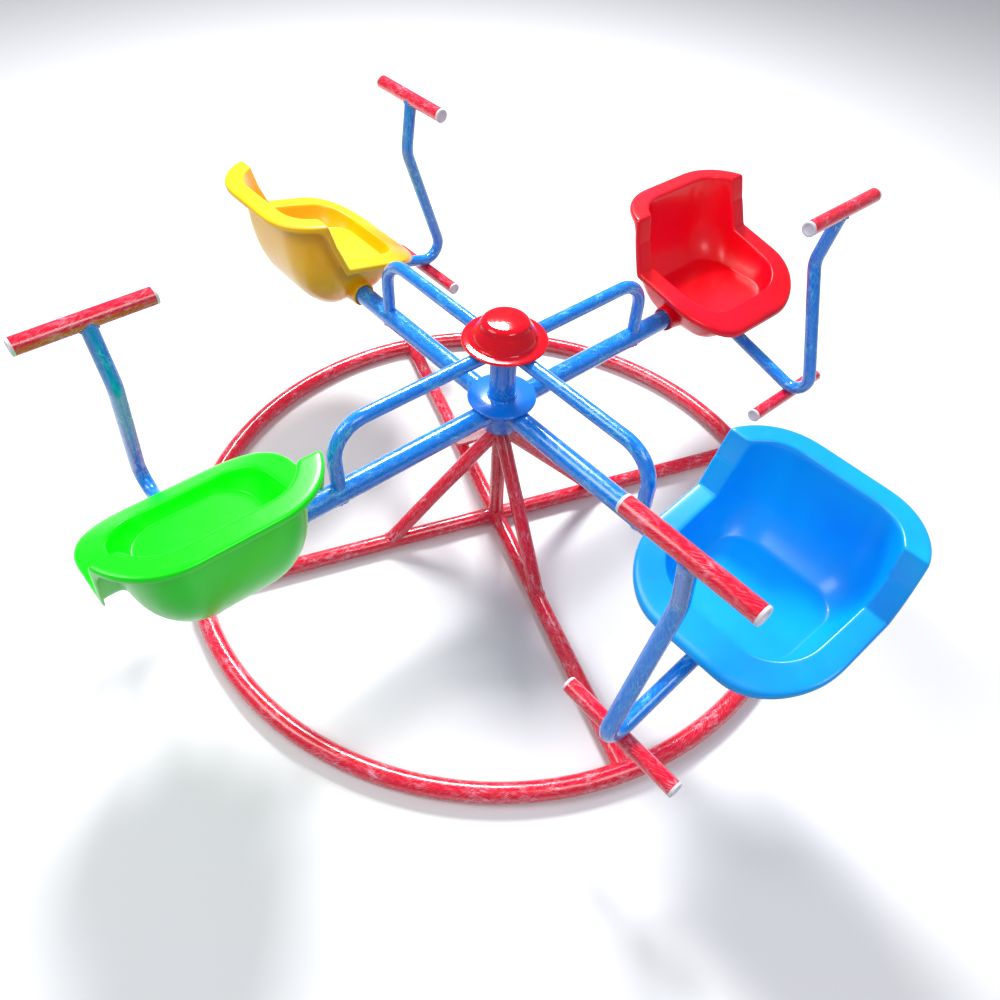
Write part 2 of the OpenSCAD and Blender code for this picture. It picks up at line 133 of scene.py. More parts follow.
def round_tube(name, path, radius, closed=False):
    """Tube drawn along a path as a bevelled curve and turned to mesh. Its wrap attribute unrolls it:
    the place around the tube, and the distance along it, both in metres."""
    bpy.ops.object.select_all(action="DESELECT")
    bpy.ops.curve.primitive_bezier_curve_add()
    made = bpy.context.object
    made.name = name
    curve = made.data
    curve.splines.clear()
    spline = curve.splines.new("POLY")
    spline.points.add(len(path) - 1)
    for place, point in zip(path, spline.points):
        point.co = (*place, 1)
    spline.use_cyclic_u = closed
    curve.dimensions = "3D"
    curve.twist_mode = "MINIMUM"
    curve.bevel_depth = radius
    curve.bevel_resolution = (TUBE_SIDES - 4) // 2
    bpy.ops.object.convert(target="MESH")
    made = bpy.context.object
    mesh = made.data
    mesh.name = name
    sides = len(mesh.vertices) // len(path)
    reach = [0.0]
    for a, b in zip(path, path[1:]):
        reach.append(reach[-1] + (b - a).length)
    full_length = reach[-1] + (path[0] - path[-1]).length
    wrap = mesh.attributes.new("wrap", "FLOAT_VECTOR", "CORNER")
    for face in mesh.polygons:
        rows = [v // sides for v in face.vertices]
        for corner, vertex, row in zip(face.loop_indices, face.vertices, rows):
            angle = 2 * math.pi * (vertex % sides) / sides
            past_seam = closed and row == 0 and max(rows) == len(path) - 1
            distance = full_length if past_seam else reach[row]
            wrap.data[corner].vector = (radius * math.cos(angle), radius * math.sin(angle), distance)
    if not closed:
        bpy.ops.object.mode_set(mode="EDIT")
        bpy.ops.mesh.select_all(action="SELECT")
        bpy.ops.mesh.fill_holes(sides=0)
        bpy.ops.object.mode_set(mode="OBJECT")
    bpy.ops.object.shade_smooth_by_angle(angle=math.radians(50))
    return made


def place_piece(piece, material, body, slot, *nodes):
    """Gives a finished piece its material and its body, and hides the CAD nodes that it stands for."""
    piece.data.materials.clear()
    piece.data.materials.append(material)
    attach(piece, body)
    if nodes:
        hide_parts(*nodes)
    return piece


def polar(radius, degrees, height):
    """Point at a radius and a turn round the upright axis."""
    turn = math.radians(degrees)
    return Vector((radius * math.cos(turn), radius * math.sin(turn), height))


def straight(start, end, spacing=0.008):
    """Points from start to end, close enough for the film's slant to follow the tube."""
    count = max(2, round((end - start).length / spacing))
    return [start.lerp(end, i / count) for i in range(count + 1)]


RING_STEPS = 480
hoop = [polar(RING_RADIUS, 360 * i / RING_STEPS, RING_TUBE) for i in range(RING_STEPS)]
ring = round_tube("ground_hoop", hoop, RING_TUBE, closed=True)
place_piece(ring, red_film, "base", "red_paint", "ground_ring")

# ---- Cross tubes, braces and post ----
# Four 34 mm tubes run from the post to the hoop, and four slimmer braces prop the post's top from
# them. All are cut to fit each other's sides, welded, and enamelled and wrapped like the hoop.
CROSS_TUBE = 0.01685
POST_TUBE = 0.0159
BRACE_TUBE = 0.015
POST_TOP = 0.288
BRACE_HEAD = 0.284
BRACE_FOOT_RADIUS = 0.250
START_OUT = 0.004
HOOP_GAP = 0.008
COMPASS = {"east": 0, "north": 90, "west": 180, "south": 270}
UP = Vector((0, 0, 1))
AXIS = Vector((0, 0, 0))



def own_copy(model, name, matrix):
    """Copy of a model with a mesh of its own, moved to its place."""
    piece = model.copy()
    piece.data = model.data.copy()
    piece.name = name
    piece.data.name = name
    bpy.context.scene.collection.objects.link(piece)
    piece.data.transform(matrix)
    return piece


def turned(degrees):
    """Turn round the upright axis."""
    return Matrix.Rotation(math.radians(degrees), 4, "Z")


out = polar(1, 0, 0)
foot = RING_TUBE * UP
run = straight(foot + START_OUT * out, foot + (RING_RADIUS - HOOP_GAP) * out)
cross_model = round_tube("cross_model", run, CROSS_TUBE)
run = straight(BRACE_HEAD * UP + START_OUT * out - START_OUT * UP, foot + BRACE_FOOT_RADIUS * out)
strut_model = round_tube("strut_model", run, BRACE_TUBE)
for side, angle in COMPASS.items():
    tube = own_copy(cross_model, f"cross_{side}", turned(angle))
    place_piece(tube, red_film, "base", "red_paint", f"cross_tube_{side}")
    tube = own_copy(strut_model, f"strut_{side}", turned(angle))
    place_piece(tube, red_film, "base", "red_paint", f"brace_{side}")
for model in (cross_model, strut_model):
    bpy.data.objects.remove(model)
post = round_tube("upright_post", straight(AXIS, POST_TOP * UP), POST_TUBE)
place_piece(post, red_film, "base", "red_paint", "centre_post")

# ---- Weld seams ----
# Each joint has a rounded bead of weld metal, laid by hand in small overlapping pools and painted
# over. A bead follows the line where one tube meets the side of another.
BEAD = 0.0026
BEAD_STEPS = 96


def across(heading):
    """Two directions square to a heading and to each other."""
    side = heading.cross(UP if abs(heading.z) < 0.9 else Vector((1, 0, 0))).normalized()
    return side, heading.cross(side).normalized()


def meeting_line(point, heading, radius, host_point, host_heading, host_radius):
    """Line where a tube that leaves a host tube along heading meets the host's side."""
    heading, host = heading.normalized(), host_heading.normalized()
    first, second = across(heading)
    line = []
    for i in range(BEAD_STEPS):
        angle = 2 * math.pi * i / BEAD_STEPS
        start = point + radius * (math.cos(angle) * first + math.sin(angle) * second) - host_point
        flat_start = start - start.dot(host) * host
        flat_heading = heading - heading.dot(host) * host
        a, b = flat_heading.length_squared, 2 * flat_start.dot(flat_heading)
        c = flat_start.length_squared - host_radius ** 2
        step = (-b + math.sqrt(max(0.0, b * b - 4 * a * c))) / (2 * a)
        line.append(start + host_point + step * heading)
    return line


def weld_bead(line, size=BEAD):
    """Closed bead along a line, swelling and shrinking with each pool of weld."""
    bpy.ops.object.select_all(action="DESELECT")
    bpy.ops.curve.primitive_bezier_circle_add()
    made = bpy.context.object
    curve = made.data
    curve.splines.clear()
    spline = curve.splines.new("POLY")
    spline.points.add(len(line) - 1)
    for i, point in enumerate(spline.points):
        point.co = (*line[i], 1)
        point.radius = 0.85 + 0.22 * math.sin(i * 1.31) + 0.15 * math.sin(i * 0.37 + 1)
    spline.use_cyclic_u = True
    curve.dimensions = "3D"
    curve.bevel_depth = size
    curve.bevel_resolution = 3
    bpy.ops.object.convert(target="MESH")
    return bpy.context.object


def join_pieces(name, pieces):
    """Joins pieces into one, with smooth shading, and a plain wrap attribute where they have none."""
    bpy.ops.object.select_all(action="DESELECT")
    for piece in pieces:
        mesh = piece.data
        if "wrap" not in mesh.attributes:
            wrap = mesh.attributes.new("wrap", "FLOAT_VECTOR", "CORNER")
            for loop in mesh.loops:
                wrap.data[loop.index].vector = mesh.vertices[loop.vertex_index].co
        piece.select_set(True)
    bpy.context.view_layer.objects.active = pieces[0]
    if len(pieces) > 1:
        bpy.ops.object.join()
    made = bpy.context.object
    made.name = name
    made.data.name = name
    bpy.ops.object.shade_smooth_by_angle(angle=math.radians(60))
    return made


beads = []
for side, angle in COMPASS.items():
    out = polar(1, angle, 0)
    axle = RING_TUBE * UP
    beads.append(weld_bead(meeting_line(axle, out, CROSS_TUBE, AXIS, UP, POST_TUBE)))
    hoop_heading = polar(1, angle + 90, 0)
    beads.append(weld_bead(meeting_line(axle + (RING_RADIUS - 0.2) * out, -out, CROSS_TUBE,
                                        axle + RING_RADIUS * out, hoop_heading, -RING_TUBE)))
    strut = (axle + BRACE_FOOT_RADIUS * out - BRACE_HEAD * UP).normalized()
    beads.append(weld_bead(meeting_line(BRACE_HEAD * UP, strut, BRACE_TUBE, AXIS, UP, POST_TUBE)))
    beads.append(weld_bead(meeting_line(axle + BRACE_FOOT_RADIUS * out, -strut, BRACE_TUBE,
                                        axle, out, CROSS_TUBE)))
place_piece(join_pieces("base_weld_seams", beads), red_film, "base", "red_paint")

# ---- Spindle, bearings, washer and nut ----
# Turned and ground steel parts inside the drum and the mast. They are hardly seen, and keep the
# fine turning marks and the dull grey shine of machined steel.


def machined_steel(name, tone, roughness):
    """Turned steel: a grey metal shine, broken by fine rings round the upright axis."""
    material = new_material(name)
    place = add_node(material, "ShaderNodeTexCoord").outputs["Object"]
    # Turning marks 0.4 mm apart, drawn round the upright axis
    drawn = add_node(material, "ShaderNodeMapping", {"Vector": place, "Scale": (0.02, 0.02, 1)})
    marks = add_node(material, "ShaderNodeTexNoise", {
        "Vector": drawn.outputs["Vector"], "Scale": 2500.0, "Detail": 2.0}).outputs["Fac"]
    rough = add_node(material, "ShaderNodeMapRange", {
        "Value": marks, "To Min": roughness - 0.08, "To Max": roughness + 0.1}).outputs["Result"]
    bump = add_node(material, "ShaderNodeBump", {"Height": marks, "Strength": 0.2, "Distance": 0.0002})
    shader = add_node(material, "ShaderNodeBsdfPrincipled", {
        "Base Color": linear(tone), "Metallic": 1.0, "Roughness": rough, "Normal": bump.outputs["Normal"]})
    add_node(material, "ShaderNodeOutputMaterial", {"Surface": shader.outputs["BSDF"]})
    return material


def dress_node(node, material):
    """Gives a CAD node that stays in view its material."""
    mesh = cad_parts[node].data
    mesh.materials.clear()
    mesh.materials.append(material)


ground_steel = machined_steel("ground_bearing_steel", "#b4b6b8", 0.25)
zinc_plate = machined_steel("zinc_plated_steel", "#a9adb0", 0.38)
for node in ("bearing_inner_races", "bearing_outer_races", "bearing_balls"):
    dress_node(node, ground_steel)
for node in ("spindle", "bearing_spacer", "top_collar", "spindle_washer", "spindle_nut", "seat_bolts"):
    dress_node(node, zinc_plate)

# ---- Dust seal ----
# A black rubber ring under the drum that keeps water out of the lower bearing. It is moulded, with
# a matt, faintly grained skin.
seal_rubber = new_material("moulded_seal_rubber")
place = add_node(seal_rubber, "ShaderNodeTexCoord").outputs["Object"]
grain = add_node(seal_rubber, "ShaderNodeTexNoise", {"Vector": place, "Scale": 1500.0, "Detail": 3.0})
bump = add_node(seal_rubber, "ShaderNodeBump", {
    "Height": grain.outputs["Fac"], "Strength": 0.3, "Distance": 0.0002})
shader = add_node(seal_rubber, "ShaderNodeBsdfPrincipled", {
    "Base Color": linear("#17181a"), "Roughness": 0.65, "Normal": bump.outputs["Normal"]})
add_node(seal_rubber, "ShaderNodeOutputMaterial", {"Surface": shader.outputs["BSDF"]})
dress_node("dust_seal", seal_rubber)

# ---- Hub drum, top disc and mast ----
# The drum is a bored steel housing, the disc is a plate welded on it over the arms, and the mast is
# a 51 mm tube that stands on the disc. All are enamelled bright blue.
# The third colour, #78ecff, is a pale cyan painted glare that the film's pleats are mixed toward
blue_film = filmed_enamel("blue_enamel_under_film", "#0092ff", "#0068de", "#78ecff", 6.0)
LOFT_SIDES = 96


def ring_at(radius, height, sides=LOFT_SIDES):
    """Level circle of points round the upright axis."""
    return [polar(radius, 360 * i / sides, height) for i in range(sides)]


def lofted(name, rings):
    """Closed skin: a circle is added, set to the first ring, extruded on through the others, and
    closed at both ends."""
    bpy.ops.object.select_all(action="DESELECT")
    bpy.ops.mesh.primitive_circle_add(vertices=len(rings[0]), fill_type="NOTHING")
    made = bpy.context.object
    made.name = name
    made.data.name = name
    bpy.ops.object.mode_set(mode="EDIT")
    bpy.ops.mesh.select_all(action="SELECT")
    skin = bmesh.from_edit_mesh(made.data)
    for number, ring in enumerate(rings):
        if number:
            bpy.ops.mesh.extrude_region_move()
            skin = bmesh.from_edit_mesh(made.data)
        chosen = [v for v in skin.verts if v.select]
        chosen.sort(key=lambda v: v.index)
        if number == 0:
            last = {v: i for i, v in enumerate(chosen)}
        else:
            # Each new corner is joined by an edge to the corner that it was drawn from
            last = {v: next(last[e.other_vert(v)] for e in v.link_edges if e.other_vert(v) in last)
                    for v in chosen}
        for v, i in last.items():
            v.co = ring[i]
        bmesh.update_edit_mesh(made.data)
    bpy.ops.mesh.edge_face_add()
    bpy.ops.mesh.poke()
    bpy.ops.mesh.select_all(action="DESELECT")
    bpy.ops.mesh.select_non_manifold()
    bpy.ops.mesh.edge_face_add()
    bpy.ops.mesh.poke()
    bpy.ops.mesh.select_all(action="SELECT")
    bpy.ops.mesh.normals_make_consistent(inside=False)
    bpy.ops.object.mode_set(mode="OBJECT")
    bpy.ops.object.shade_smooth_by_angle(angle=math.radians(45))
    return made


DRUM_RADIUS = 0.043
DRUM_BASE, DRUM_TOP = 0.298, 0.362
DISC_RADIUS, DISC_TOP = 0.0675, 0.368
EDGE = 0.0015
# Outlines as (radius, height)
DRUM_OUTLINE = ((DRUM_RADIUS - EDGE, DRUM_TOP), (DRUM_RADIUS, DRUM_TOP - EDGE),
                (DRUM_RADIUS, DRUM_BASE + 2 * EDGE), (DRUM_RADIUS - 2 * EDGE, DRUM_BASE),
                (0.024, DRUM_BASE), (0.024, DRUM_BASE + 0.004))
DISC_OUTLINE = ((0.018, DRUM_TOP), (DISC_RADIUS - EDGE, DRUM_TOP), (DISC_RADIUS, DRUM_TOP + EDGE),
                (DISC_RADIUS, DISC_TOP - EDGE), (DISC_RADIUS - 0.4 * EDGE, DISC_TOP - 0.4 * EDGE),
                (DISC_RADIUS - EDGE, DISC_TOP), (0.018, DISC_TOP))
drum = lofted("hub_drum", [ring_at(radius, height) for radius, height in DRUM_OUTLINE])
disc = lofted("hub_top_disc", [ring_at(radius, height) for radius, height in DISC_OUTLINE])


def plain_enamel(name, paint, deep):
    """Gloss enamel without film: a smooth bright coat, with slow changes of tone about 45 mm across
    and the faint waves of orange peel about 2.4 mm apart in its shine."""
    material = new_material(name)
    place = add_node(material, "ShaderNodeTexCoord").outputs["Object"]
    cloud = add_node(material, "ShaderNodeTexNoise", {
        "Vector": place, "Scale": 22.0, "Detail": 4.0}).outputs["Fac"]
    tone = add_node(material, "ShaderNodeMix", {
        "Factor": cloud, MIX_FIRST: linear(paint), MIX_SECOND: linear(deep)}, data_type="RGBA")
    peel = add_node(material, "ShaderNodeTexNoise", {
        "Vector": place, "Scale": 420.0, "Detail": 2.0}).outputs["Fac"]
    rough = add_node(material, "ShaderNodeMapRange", {"Value": cloud, "To Min": 0.18, "To Max": 0.34})
    bump = add_node(material, "ShaderNodeBump", {"Height": peel, "Strength": 0.12, "Distance": 0.0004})
    shader = add_node(material, "ShaderNodeBsdfPrincipled", {
        "Base Color": tone.outputs[MIX_RESULT], "Roughness": rough.outputs["Result"],
        "Normal": bump.outputs["Normal"], "Coat Weight": 0.7, "Coat Roughness": 0.06})
    add_node(material, "ShaderNodeOutputMaterial", {"Surface": shader.outputs["BSDF"]})
    return material


blue_enamel = plain_enamel("bright_blue_enamel", "#0090ff", "#006ce4")
place_piece(drum, blue_enamel, "rotor", "blue_paint", "bearing_housing")
place_piece(disc, blue_enamel, "rotor", "blue_paint", "hub_disc")
MAST_TUBE = 0.0254
MAST_TOP = 0.528
mast = round_tube("mast_tube", straight((DISC_TOP - 0.001) * UP, MAST_TOP * UP), MAST_TUBE)
place_piece(mast, blue_film, "rotor", "blue_paint", "mast")

# ---- Mast cap ----
# A red bell that covers the mast's top and keeps rain out. It is injection moulded in glossy
# plastic, with a wide flange, a hollow curve up to the bell and a rounded crown.
CAP_BASE = 0.498
CAP_RIM = 0.080
CAP_SKIRT = 0.060
CAP_CROWN = 0.045
CAP_HEIGHT = 0.048
profile = [(0.030, 0.004), (0.052, 0.002), (0.060, 0.0), (CAP_RIM - 0.002, 0.0), (CAP_RIM, 0.0012),
           (CAP_RIM, 0.0034), (CAP_RIM - 0.0012, 0.0048), (CAP_RIM - 0.004, 0.0052), (0.068, 0.0054),
           (0.0635, 0.0064), (0.0605, 0.0088), (CAP_SKIRT, 0.012)]
for i in range(1, 6):
    share = i / 5
    profile.append((CAP_SKIRT + (CAP_CROWN + 0.001 - CAP_SKIRT) * share ** 1.25, 0.012 + 0.023 * share))
for i in range(1, 8):
    turn = math.radians(90 * i / 7)
    profile.append((CAP_CROWN - 0.014 + 0.015 * math.cos(turn), 0.035 + 0.0115 * math.sin(turn)))
profile += [(0.022, 0.0474), (0.011, CAP_HEIGHT)]
bell = lofted("mast_bell_cap", [ring_at(r, CAP_BASE + z) for r, z in profile])


SKIN_GRAIN = 0.0012


def gloss_plastic(name, colour, shade, roughness):
    """Moulded plastic: even colour with slow cloudy changes, a fine grain in the skin, and faint
    scuffs about 26 mm across that take the shine off."""
    material = new_material(name)
    place = add_node(material, "ShaderNodeTexCoord").outputs["Object"]
    cloud = add_node(material, "ShaderNodeTexNoise", {
        "Vector": place, "Scale": 7.0, "Detail": 3.0}).outputs["Fac"]
    spread = add_node(material, "ShaderNodeMapRange", {"Value": cloud, "From Min": 0.35, "From Max": 0.75})
    tone = add_node(material, "ShaderNodeMix", {
        "Factor": spread.outputs["Result"], MIX_FIRST: linear(colour), MIX_SECOND: linear(shade)},
        data_type="RGBA")
    skin = add_node(material, "ShaderNodeTexNoise", {"Vector": place, "Scale": 1 / SKIN_GRAIN, "Detail": 2.0})
    scuff = add_node(material, "ShaderNodeTexNoise", {
        "Vector": place, "Scale": 38.0, "Detail": 5.0, "Roughness": 0.65})
    rubbed = add_node(material, "ShaderNodeMapRange", {
        "Value": scuff.outputs["Fac"], "From Min": 0.55, "From Max": 0.75,
        "To Min": roughness, "To Max": roughness + 0.12}).outputs["Result"]
    bump = add_node(material, "ShaderNodeBump", {
        "Height": skin.outputs["Fac"], "Strength": 0.10, "Distance": 0.0003}).outputs["Normal"]
    shader = add_node(material, "ShaderNodeBsdfPrincipled", {
        "Base Color": tone.outputs[MIX_RESULT], "Roughness": rubbed, "Normal": bump,
        "Specular IOR Level": 0.42, "Coat Weight": 0.12, "Coat Roughness": 0.10})
    add_node(material, "ShaderNodeOutputMaterial", {"Surface": shader.outputs["BSDF"]})
    return material


cap_plastic = gloss_plastic("red_cap_plastic", "#f4000c", "#d80028", 0.10)
place_piece(bell, cap_plastic, "rotor", "red_cap_plastic", "mast_cap")

# ---- Arms and rails ----
# Each seat hangs on a 42 mm arm that leaves the drum, and a slimmer rail runs over it from the
# mast to a bend and down to the arm's top, as a stay and a hand hold.
REST_ANGLE = 19.5
SEATS = {"red": 0, "yellow": 1, "green": 2, "blue": 3}
ARM_TUBE, ARM_HEIGHT, ARM_END = 0.0212, 0.340, 0.697
RAIL_TUBE, RAIL_HEIGHT, RAIL_FOOT, RAIL_BEND = 0.01345, 0.48305, 0.375, 0.066
# Tube ends hidden in the drum and the mast, and in the arm's top
ARM_START, RAIL_START, RAIL_SINK = 0.030, 0.018, 0.012


def turned_arc(centre, first, second, start, end, spacing=0.006):
    """Points on an arc: first and second are the arc's own axes, as long as its radius."""
    count = max(4, round(abs(end - start) * first.length / spacing))
    angles = [start + (end - start) * i / count for i in range(count + 1)]
    return [centre + math.cos(a) * first + math.sin(a) * second for a in angles]


def along_path(*stretches):
    """One list of points from stretches that start where the last one ended."""
    points = list(stretches[0])
    for stretch in stretches[1:]:
        points += stretch[1:]
    return points


out = polar(1, REST_ANGLE, 0)
level = ARM_HEIGHT * UP
arm_model = round_tube("arm_model", straight(level + ARM_START * out, level + ARM_END * out), ARM_TUBE)
high = RAIL_HEIGHT * UP
bend_start = high + (RAIL_FOOT - RAIL_BEND) * out
path = along_path(
    straight(high + RAIL_START * out, bend_start),
    turned_arc(bend_start - RAIL_BEND * UP, RAIL_BEND * UP, RAIL_BEND * out, 0, math.pi / 2),
    straight(high + RAIL_FOOT * out - RAIL_BEND * UP, (ARM_HEIGHT + RAIL_SINK) * UP + RAIL_FOOT * out))
rail_model = round_tube("rail_model", path, RAIL_TUBE)
beads = []
for colour, quarter in SEATS.items():
    tube = own_copy(arm_model, f"seat_arm_{colour}", turned(90 * quarter))
    place_piece(tube, blue_film, "rotor", "blue_paint", f"arm_{colour}")
    tube = own_copy(rail_model, f"hand_rail_{colour}", turned(90 * quarter))
    place_piece(tube, blue_film, "rotor", "blue_paint", f"rail_{colour}")
    out = polar(1, REST_ANGLE + 90 * quarter, 0)
    beads.append(weld_bead(meeting_line(level, out, ARM_TUBE, AXIS, UP, DRUM_RADIUS), 0.0032))
    beads.append(weld_bead(meeting_line(high, out, RAIL_TUBE, AXIS, UP, MAST_TUBE)))
    beads.append(weld_bead(meeting_line(high + RAIL_FOOT * out, -UP, RAIL_TUBE, level, out, -ARM_TUBE)))
for model in (arm_model, rail_model):
    bpy.data.objects.remove(model)
beads.append(weld_bead(ring_at(MAST_TUBE + 0.001, DISC_TOP, BEAD_STEPS), 0.0030))

# ---- Handles and footrests ----
# A bent 27 mm post leaves the arm under the seat, turns up at the knee over the footrest and ends
# at the handle bar. Bars and footrests are red 29 mm tubes with white plugs in their ends.
SEAT_RADIUS = 0.612
HANDLE_TUBE = 0.01345
BAR_TUBE = 0.0143
HANDLE_ROOT = (0.005, 0.334)
HANDLE_RUN, HANDLE_SLOPE = 0.269, math.radians(15)
KNEE_ANGLE, KNEE_BEND = math.radians(124), 0.038
HANDLE_LEG = 0.231
ELBOW_ANGLE, ELBOW_BEND = math.radians(28), 0.070
HANDLE_NECK = 0.097
BAR_LENGTH, FOOTREST_LENGTH, PLUG_FACE = 0.220, 0.234, 0.005


def handle_route(origin, forward):
    """The post's path, the middles of the handle bar and the footrest, and the post's root, with
    its headings there and at the bar."""
    def spot(ahead, height):
        return origin + ahead * forward + height * UP

    def heading(angle):
        return math.cos(angle) * forward + math.sin(angle) * UP

    root = spot(*HANDLE_ROOT)
    run_end = root + HANDLE_RUN * heading(-HANDLE_SLOPE)
    knee = run_end + KNEE_BEND * heading(math.pi / 2 - HANDLE_SLOPE)
    leg = KNEE_ANGLE - HANDLE_SLOPE
    leg_start = knee + KNEE_BEND * heading(leg - math.pi / 2)
    leg_end = leg_start + HANDLE_LEG * heading(leg)
    elbow = leg_end + ELBOW_BEND * heading(leg - math.pi / 2)
    neck = leg - ELBOW_ANGLE
    neck_start = elbow + ELBOW_BEND * heading(neck + math.pi / 2)
    bar = neck_start + HANDLE_NECK * heading(neck)
    path = along_path(
        straight(root, run_end),
        turned_arc(knee, KNEE_BEND * forward, KNEE_BEND * UP, -HANDLE_SLOPE - math.pi / 2, leg - math.pi / 2),
        straight(leg_start, leg_end),
        turned_arc(elbow, ELBOW_BEND * forward, ELBOW_BEND * UP, leg + math.pi / 2, neck + math.pi / 2),
        straight(neck_start, bar))
    footrest = knee - (KNEE_BEND + HANDLE_TUBE + BAR_TUBE - 0.001) * UP
    return path, bar, footrest, root, heading(-HANDLE_SLOPE), heading(neck)


# Moulded plug, modelled facing up: a rounded face as wide as the tube, dished to a hollow middle.
# Its outline is (radius, height).
PLUG_OUTLINE = ((0.0120, -0.014), (0.0120, 0.0), (BAR_TUBE, 0.0), (BAR_TUBE, 0.0034), (0.0136, 0.0046),
                (0.0124, PLUG_FACE), (0.0098, PLUG_FACE), (0.0088, 0.0042), (0.0082, 0.0024), (0.003, 0.0020))
PLUG_SIDES = 40
plug_model = lofted("plug_model", [ring_at(radius, height, PLUG_SIDES) for radius, height in PLUG_OUTLINE])


def end_plug(centre, out):
    """Copy of the plug in a tube's end, turned to face out."""
    facing = Matrix((*across(out), out)).transposed().to_4x4()
    return own_copy(plug_model, "plug", Matrix.Translation(centre) @ facing)


out, forward = polar(1, REST_ANGLE, 0), polar(1, REST_ANGLE - 90, 0)
path, bar, footrest, root, run_heading, neck_heading = handle_route(SEAT_RADIUS * out, forward)
stem_model = round_tube("stem_model", path, HANDLE_TUBE)
bar_models = []
for kind, node, middle, length in (("handle", "handle_bar", bar, BAR_LENGTH),
                                   ("foot", "footrest", footrest, FOOTREST_LENGTH)):
    end = (length / 2 - PLUG_FACE) * out
    model = round_tube(f"{kind}_bar_model", straight(middle - end, middle + end, 0.005), BAR_TUBE)
    bar_models.append((kind, node, middle, end, model))
plugs = {"handle": [], "foot": []}
for colour, quarter in SEATS.items():
    turn = turned(90 * quarter)
    tube = own_copy(stem_model, f"handle_stem_{colour}", turn)
    place_piece(tube, blue_film, "rotor", "blue_paint", f"handle_post_{colour}")
    beads.append(weld_bead(meeting_line(turn @ bar, turn @ -neck_heading, HANDLE_TUBE,
                                        turn @ bar, turn @ out, BAR_TUBE)))
    beads.append(weld_bead(meeting_line(turn @ root, turn @ run_heading, HANDLE_TUBE,
                                        ARM_HEIGHT * UP, turn @ out, ARM_TUBE)))
    for kind, node, middle, end, model in bar_models:
        tube = own_copy(model, f"{kind}_bar_{colour}", turn)
        place_piece(tube, red_film, "rotor", "red_paint", f"{node}_{colour}")
        for way in (-1, 1):
            plugs[kind].append(end_plug(turn @ (middle + way * end), turn @ (way * out)))
for model in (stem_model, plug_model, *(row[-1] for row in bar_models)):
    bpy.data.objects.remove(model)
place_piece(join_pieces("rotor_weld_seams", beads), blue_film, "rotor", "blue_paint")

# White moulded plastic: a soft shine, and a little milky where light sinks in
white_plug = new_material("white_moulded_plug")
place = add_node(white_plug, "ShaderNodeTexCoord").outputs["Object"]
cloud = add_node(white_plug, "ShaderNodeTexNoise", {"Vector": place, "Scale": 60.0, "Detail": 3.0})
tone = add_node(white_plug, "ShaderNodeMix", {
    "Factor": cloud.outputs["Fac"], MIX_FIRST: linear("#f6f2f6"), MIX_SECOND: linear("#d8d0dc")},
    data_type="RGBA")
shader = add_node(white_plug, "ShaderNodeBsdfPrincipled", {
    "Base Color": tone.outputs[MIX_RESULT], "Roughness": 0.38, "Subsurface Weight": 0.15,
    "Subsurface Radius": (0.004, 0.003, 0.003)})
add_node(white_plug, "ShaderNodeOutputMaterial", {"Surface": shader.outputs["BSDF"]})
place_piece(join_pieces("handle_bar_plugs", plugs["handle"]), white_plug, "rotor", "white_cap_plastic",
            "handle_bar_caps")
place_piece(join_pieces("footrest_plugs", plugs["foot"]), white_plug, "rotor", "white_cap_plastic",
            "footrest_caps")

# ---- Seat brackets ----
# A flat steel plate welded along the arm's top carries each seat, and four bolts from below hold
# it. The plates are enamelled with the arms and only show from underneath.
for colour in SEATS:
    dress_node(f"seat_bracket_{colour}", blue_enamel)

# ---- Seats ----
# Each bucket is rotationally moulded in one piece of tough polyethylene: a deep tub, a wide rolled
# flange that is high behind the rider and steps down beside them, and an outer wall over the arm.
FLANGE = 0.040
UNDERSIDE = 0.035
BACK_RIM, SIDE_RIM, LIP_RIM = 0.551, 0.445, 0.371
MIDDLE_RIM = 0.423
# The last of the rim's fall, which rolls over to the lip: (ahead, height)
LIP_ROLL = ((0.092, 0.411), (0.118, 0.400), (0.142, 0.386))
GROOVE_DEPTH, GROOVE_WIDTH = 0.0030, 0.0016
STEP_START, STEP_CREASE, STEP_END = -0.087, -0.074, -0.052
SEAT_FRONT = 0.162
TUB_FLOOR, SEAT_BOTTOM = 0.3725, 0.302
# Front and back corner circles of the rim's outside, the tub's floor and the wall's foot:
# (across, ahead, radius)
RIM_CORNERS = ((0.062, 0.044, 0.118), (0.062, -0.055, 0.118))
FLOOR_CORNERS = ((0.054, 0.046, 0.052), (0.054, -0.034, 0.052))
FOOT_CORNERS = ((0.036, 0.044, 0.048), (0.036, -0.026, 0.048))
# Places along the side of the rim, closer together over the step
SIDE_PLACES = (0.030, 0.015, 0.0, -0.015, -0.030, -0.040, -0.046, -0.0495, -0.0512, -0.0528, -0.0550)
STEP_PLACES = (-0.059, -0.063, -0.067, -0.0705, -0.0722, -0.0732, -0.074, -0.0748, -0.0758, -0.0775, -0.081,
               -0.0845, -0.0862, -0.0880, -0.0915)
STEP_TURN = math.radians(21)


